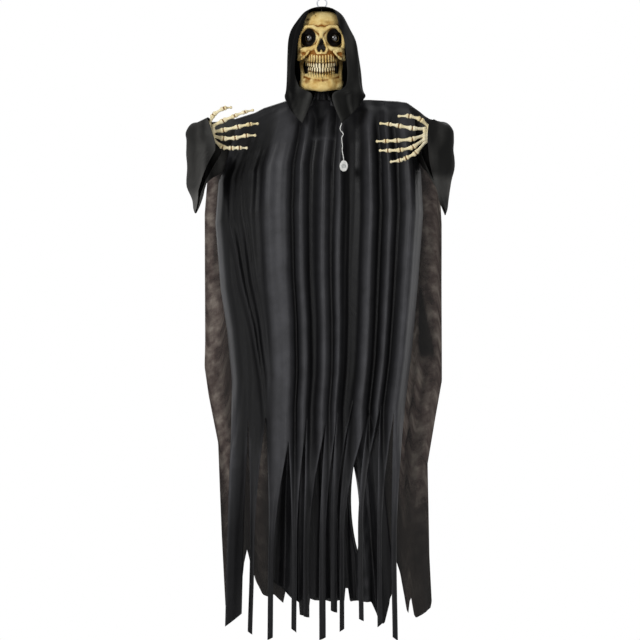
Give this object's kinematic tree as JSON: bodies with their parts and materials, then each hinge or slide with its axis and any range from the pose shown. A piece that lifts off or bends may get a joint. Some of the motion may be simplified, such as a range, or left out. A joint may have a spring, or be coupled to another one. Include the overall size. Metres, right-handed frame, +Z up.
{
  "type": "animated hanging reaper",
  "caption": "Hanging hooded skeleton figure in a slit robe, with arms that swing in, an opening jaw and a push-button on a lead.",
  "frame": {"origin": "top of the inside of the hanging ring, where it rests on a hook", "axes": "+Z up, the figure faces -Y, +X is the right side as seen from the front"},
  "size_m": [0.7748, 0.3236, 1.8608],
  "materials": {
    "satin_cloth": "glossy black lining satin",
    "gauze_cloth": "sheer grey-brown cheesecloth",
    "skull_plastic": "blow-moulded, painted aged bone with brown stains",
    "hand_plastic": "moulded, pale bone",
    "tooth_plastic": "glossy ivory",
    "eye_plastic": "dark tinted, glossy",
    "plated_steel": "zinc plated",
    "black_plastic": "moulded",
    "white_plastic": "moulded",
    "lead_sheath": "white twisted lead",
    "grey_plastic": "moulded",
    "gear_plastic": "natural acetal",
    "circuit_laminate": "green solder mask",
    "cell_skin": "plain wrapped cell"
  },
  "bodies": {
    "frame": {"robe_front": "satin_cloth", "robe_back": "satin_cloth", "hood": "satin_cloth", "gauze_cape": "gauze_cloth", "skull_face": "skull_plastic", "skull_back": "skull_plastic", "upper_teeth": "tooth_plastic", "eye_lens_left": "eye_plastic", "eye_lens_right": "eye_plastic", "hanging_eye": "plated_steel", "crown_washer": "plated_steel", "neck_post": "plated_steel", "post_nut": "plated_steel", "cross_bar": "plated_steel", "shoulder_bracket_left": "plated_steel", "shoulder_bracket_right": "plated_steel", "shoulder_pin_left": "plated_steel", "shoulder_pin_right": "plated_steel", "shoulder_yoke": "plated_steel", "deck_pillar_1": "plated_steel", "deck_pillar_2": "plated_steel", "deck_pillar_3": "plated_steel", "arm_motor": "plated_steel", "jaw_motor": "plated_steel", "gear_deck": "black_plastic", "case_front": "black_plastic", "case_rear": "black_plastic", "speaker": "black_plastic", "button_housing": "white_plastic", "eye_led_left": "white_plastic", "eye_led_right": "white_plastic", "try_me_lead": "lead_sheath", "lead_eyelet": "grey_plastic", "circuit_board": "circuit_laminate", "battery_cell_1": "cell_skin", "battery_cell_2": "cell_skin", "battery_cell_3": "cell_skin"},
    "jaw": {"lower_jaw": "skull_plastic", "lower_teeth": "tooth_plastic", "jaw_shaft": "plated_steel", "jaw_sector": "gear_plastic"},
    "jaw_pinion": {"jaw_pinion": "gear_plastic"},
    "arm_left": {"arm_left": "plated_steel", "wrist_fork_left": "black_plastic", "wrist_pin_left": "plated_steel", "sleeve_left": "satin_cloth"},
    "arm_right": {"arm_right": "plated_steel", "wrist_fork_right": "black_plastic", "wrist_pin_right": "plated_steel", "sleeve_right": "satin_cloth"},
    "hand_left": {"hand_left": "hand_plastic"},
    "hand_right": {"hand_right": "hand_plastic"},
    "crank_left": {"crank_gear_left": "gear_plastic"},
    "crank_right": {"crank_gear_right": "gear_plastic"},
    "rod_left": {"push_rod_left": "plated_steel"},
    "rod_right": {"push_rod_right": "plated_steel"},
    "motor_pinion": {"motor_pinion": "gear_plastic"},
    "button_cap": {"button_cap": "grey_plastic"},
    "battery_door": {"battery_door": "black_plastic"},
    "power_switch": {"power_switch": "grey_plastic"}
  },
  "joints": [
    {"name": "jaw_open", "type": "hinge", "parent": "frame", "child": "jaw", "pos_m": [0, 0.02, -0.172], "axis": [1, 0, 0], "range_deg": [0, 10]},
    {"name": "jaw_pinion_spin", "type": "hinge", "parent": "frame", "child": "jaw_pinion", "pos_m": [0.026, 0.052, -0.172], "axis": [1, 0, 0], "range_deg": [-30, 0]},
    {"name": "arm_left_swing", "type": "hinge", "parent": "frame", "child": "arm_left", "pos_m": [-0.262, 0, -0.384], "axis": [0, 0, 1], "range_deg": [-10, 12]},
    {"name": "arm_right_swing", "type": "hinge", "parent": "frame", "child": "arm_right", "pos_m": [0.262, 0, -0.384], "axis": [0, 0, 1], "range_deg": [-12, 10]},
    {"name": "crank_left_turn", "type": "hinge", "parent": "frame", "child": "crank_left", "pos_m": [-0.024, 0, -0.398], "axis": [0, 0, 1], "range_deg": [-10, 12]},
    {"name": "crank_right_turn", "type": "hinge", "parent": "frame", "child": "crank_right", "pos_m": [0.024, 0, -0.398], "axis": [0, 0, 1], "range_deg": [-12, 10]},
    {"name": "rod_left_pivot", "type": "hinge", "parent": "crank_left", "child": "rod_left", "pos_m": [-0.024, -0.02, -0.392], "axis": [0, 0, 1], "range_deg": [-12, 10]},
    {"name": "rod_right_pivot", "type": "hinge", "parent": "crank_right", "child": "rod_right", "pos_m": [0.024, -0.02, -0.392], "axis": [0, 0, 1], "range_deg": [-10, 12]},
    {"name": "motor_pinion_spin", "type": "hinge", "parent": "frame", "child": "motor_pinion", "pos_m": [-0.024, 0.032, -0.398], "axis": [0, 0, 1], "range_deg": [-36, 30]},
    {"name": "wrist_left_turn", "type": "hinge", "parent": "arm_left", "child": "hand_left", "pos_m": [-0.338, -0.15, -0.4], "axis": [0, 0, 1], "range_deg": [-30, 5]},
    {"name": "wrist_right_turn", "type": "hinge", "parent": "arm_right", "child": "hand_right", "pos_m": [0.322, -0.15, -0.405], "axis": [0, 0, 1], "range_deg": [-5, 30]},
    {"name": "button_press", "type": "slide", "parent": "frame", "child": "button_cap", "axis": [0, 1, 0], "range_m": [0, 0.002], "stiffness_N_per_m": 150},
    {"name": "battery_door_slide", "type": "slide", "parent": "frame", "child": "battery_door", "axis": [0, 0, -1], "range_m": [0, 0.014]},
    {"name": "power_switch_slide", "type": "slide", "parent": "frame", "child": "power_switch", "axis": [0, 0, 1], "range_m": [0, 0.004]}
  ],
  "couplings": [
    {"joint": "jaw_pinion_spin", "follows": "jaw_open", "ratio": -3},
    {"joint": "arm_right_swing", "follows": "arm_left_swing", "ratio": -1},
    {"joint": "crank_left_turn", "follows": "arm_left_swing", "ratio": 1},
    {"joint": "crank_right_turn", "follows": "arm_left_swing", "ratio": -1},
    {"joint": "rod_left_pivot", "follows": "arm_left_swing", "ratio": -1},
    {"joint": "rod_right_pivot", "follows": "arm_left_swing", "ratio": 1},
    {"joint": "motor_pinion_spin", "follows": "arm_left_swing", "ratio": -3}
  ]
}
